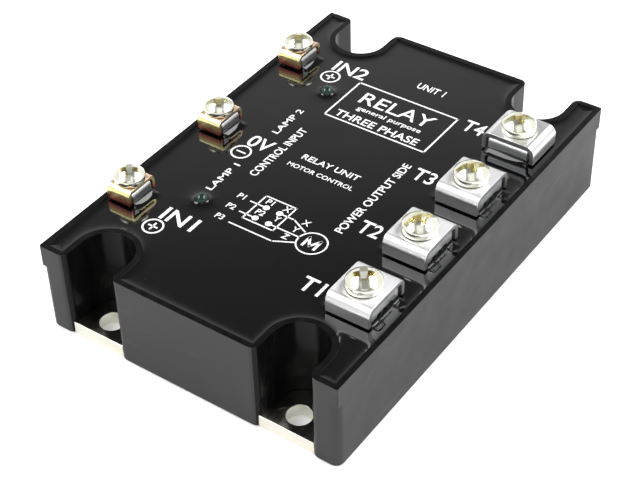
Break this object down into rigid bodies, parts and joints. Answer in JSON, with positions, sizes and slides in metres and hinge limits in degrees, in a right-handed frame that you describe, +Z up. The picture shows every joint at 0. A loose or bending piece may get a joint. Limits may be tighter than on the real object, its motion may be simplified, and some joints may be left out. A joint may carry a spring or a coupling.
{
  "type": "solid state relay",
  "caption": "Flat black potted relay block on a metal plate, with notched ends for mounting screws and rows of saddle clamp screw terminals along both long sides.",
  "frame": {"origin": "centre of the base plate's underside", "axes": "+Z up out of the potted top; +X along the 104 mm length, towards the end with the forward control terminal; +Y across the width, towards the row of control terminals"},
  "size_m": [0.104, 0.0728, 0.029],
  "materials": {
    "nickel_plate": "satin nickel plated aluminium",
    "black_plastic": "moulded thermoplastic, satin",
    "black_resin": "cast epoxy, glossy",
    "clear_gel": "soft silicone gel",
    "green_board": "solder mask",
    "white_ceramic": "alumina with copper pads",
    "silicon": "silicon die, metallised",
    "black_epoxy_part": "moulded epoxy",
    "film_capacitor": "dipped film capacitor",
    "resistor_coat": "lacquered resistor",
    "green_lens": "tinted lens, unlit",
    "tinned_metal": "tinned brass sheet",
    "bright_nickel": "bright nickel plated steel sheet",
    "screw_nickel": "nickel plated steel, warm tint",
    "yellow_chromate": "zinc plated steel with yellow iridescent passivation"
  },
  "bodies": {
    "root": {"base_plate": "nickel_plate", "housing": "black_plastic", "potting_resin": "black_resin", "inner_resin": "black_resin", "gel_layer": "clear_gel", "circuit_board": "green_board", "ceramic_tile_1": "white_ceramic", "thyristor_die_1a": "silicon", "thyristor_die_1b": "silicon", "optocoupler_1": "black_epoxy_part", "snubber_capacitor_1": "film_capacitor", "snubber_resistor_1": "resistor_coat", "ceramic_tile_2": "white_ceramic", "thyristor_die_2a": "silicon", "thyristor_die_2b": "silicon", "optocoupler_2": "black_epoxy_part", "snubber_capacitor_2": "film_capacitor", "snubber_resistor_2": "resistor_coat", "ceramic_tile_3": "white_ceramic", "thyristor_die_3a": "silicon", "thyristor_die_3b": "silicon", "optocoupler_3": "black_epoxy_part", "snubber_capacitor_3": "film_capacitor", "snubber_resistor_3": "resistor_coat", "ceramic_tile_4": "white_ceramic", "thyristor_die_4a": "silicon", "thyristor_die_4b": "silicon", "optocoupler_4": "black_epoxy_part", "snubber_capacitor_4": "film_capacitor", "snubber_resistor_4": "resistor_coat", "led_forward": "green_lens", "input_transistor_forward": "black_epoxy_part", "input_diode_forward": "black_epoxy_part", "led_reverse": "green_lens", "input_transistor_reverse": "black_epoxy_part", "input_diode_reverse": "black_epoxy_part", "output_lug_1": "tinned_metal", "output_lug_2": "tinned_metal", "output_lug_3": "tinned_metal", "output_lug_4": "tinned_metal", "input_lug_reverse": "tinned_metal", "input_lug_common": "tinned_metal", "input_lug_forward": "tinned_metal"},
    "output_clamp_1": {"output_clamp_1": "bright_nickel"},
    "output_screw_1": {"output_screw_1": "screw_nickel"},
    "output_clamp_2": {"output_clamp_2": "bright_nickel"},
    "output_screw_2": {"output_screw_2": "screw_nickel"},
    "output_clamp_3": {"output_clamp_3": "bright_nickel"},
    "output_screw_3": {"output_screw_3": "screw_nickel"},
    "output_clamp_4": {"output_clamp_4": "bright_nickel"},
    "output_screw_4": {"output_screw_4": "screw_nickel"},
    "input_clamp_reverse": {"input_clamp_reverse": "yellow_chromate"},
    "input_screw_reverse": {"input_screw_reverse": "screw_nickel"},
    "input_clamp_common": {"input_clamp_common": "yellow_chromate"},
    "input_screw_common": {"input_screw_common": "screw_nickel"},
    "input_clamp_forward": {"input_clamp_forward": "yellow_chromate"},
    "input_screw_forward": {"input_screw_forward": "screw_nickel"}
  },
  "joints": [
    {"name": "output_clamp_1_lift", "type": "slide", "parent": "root", "child": "output_clamp_1", "axis": [0, 0, 1], "range_m": [0, 0.0028]},
    {"name": "output_screw_1_turn", "type": "hinge", "parent": "output_clamp_1", "child": "output_screw_1", "pos_m": [-0.02985, -0.0275, 0.026], "axis": [0, 0, 1], "range_deg": [0, 1441]},
    {"name": "output_clamp_2_lift", "type": "slide", "parent": "root", "child": "output_clamp_2", "axis": [0, 0, 1], "range_m": [0, 0.0028]},
    {"name": "output_screw_2_turn", "type": "hinge", "parent": "output_clamp_2", "child": "output_screw_2", "pos_m": [-0.00995, -0.0275, 0.026], "axis": [0, 0, 1], "range_deg": [0, 1441]},
    {"name": "output_clamp_3_lift", "type": "slide", "parent": "root", "child": "output_clamp_3", "axis": [0, 0, 1], "range_m": [0, 0.0028]},
    {"name": "output_screw_3_turn", "type": "hinge", "parent": "output_clamp_3", "child": "output_screw_3", "pos_m": [0.00995, -0.0275, 0.026], "axis": [0, 0, 1], "range_deg": [0, 1441]},
    {"name": "output_clamp_4_lift", "type": "slide", "parent": "root", "child": "output_clamp_4", "axis": [0, 0, 1], "range_m": [0, 0.0028]},
    {"name": "output_screw_4_turn", "type": "hinge", "parent": "output_clamp_4", "child": "output_screw_4", "pos_m": [0.02985, -0.0275, 0.026], "axis": [0, 0, 1], "range_deg": [0, 1441]},
    {"name": "input_clamp_reverse_lift", "type": "slide", "parent": "root", "child": "input_clamp_reverse", "axis": [0, 0, 1], "range_m": [0, 0.0024]},
    {"name": "input_screw_reverse_turn", "type": "hinge", "parent": "input_clamp_reverse", "child": "input_screw_reverse", "pos_m": [-0.0286, 0.0317, 0.026], "axis": [0, 0, 1], "range_deg": [0, 1441]},
    {"name": "input_clamp_common_lift", "type": "slide", "parent": "root", "child": "input_clamp_common", "axis": [0, 0, 1], "range_m": [0, 0.0024]},
    {"name": "input_screw_common_turn", "type": "hinge", "parent": "input_clamp_common", "child": "input_screw_common", "pos_m": [0.001, 0.0311, 0.026], "axis": [0, 0, 1], "range_deg": [0, 1441]},
    {"name": "input_clamp_forward_lift", "type": "slide", "parent": "root", "child": "input_clamp_forward", "axis": [0, 0, 1], "range_m": [0, 0.0024]},
    {"name": "input_screw_forward_turn", "type": "hinge", "parent": "input_clamp_forward", "child": "input_screw_forward", "pos_m": [0.0313, 0.0313, 0.026], "axis": [0, 0, 1], "range_deg": [0, 1441]}
  ],
  "couplings": [
    {"joint": "output_screw_1_turn", "follows": "output_clamp_1_lift", "rad_per_m": 8976},
    {"joint": "output_screw_2_turn", "follows": "output_clamp_2_lift", "rad_per_m": 8976},
    {"joint": "output_screw_3_turn", "follows": "output_clamp_3_lift", "rad_per_m": 8976},
    {"joint": "output_screw_4_turn", "follows": "output_clamp_4_lift", "rad_per_m": 8976},
    {"joint": "input_screw_reverse_turn", "follows": "input_clamp_reverse_lift", "rad_per_m": 10472},
    {"joint": "input_screw_common_turn", "follows": "input_clamp_common_lift", "rad_per_m": 10472},
    {"joint": "input_screw_forward_turn", "follows": "input_clamp_forward_lift", "rad_per_m": 10472}
  ]
}
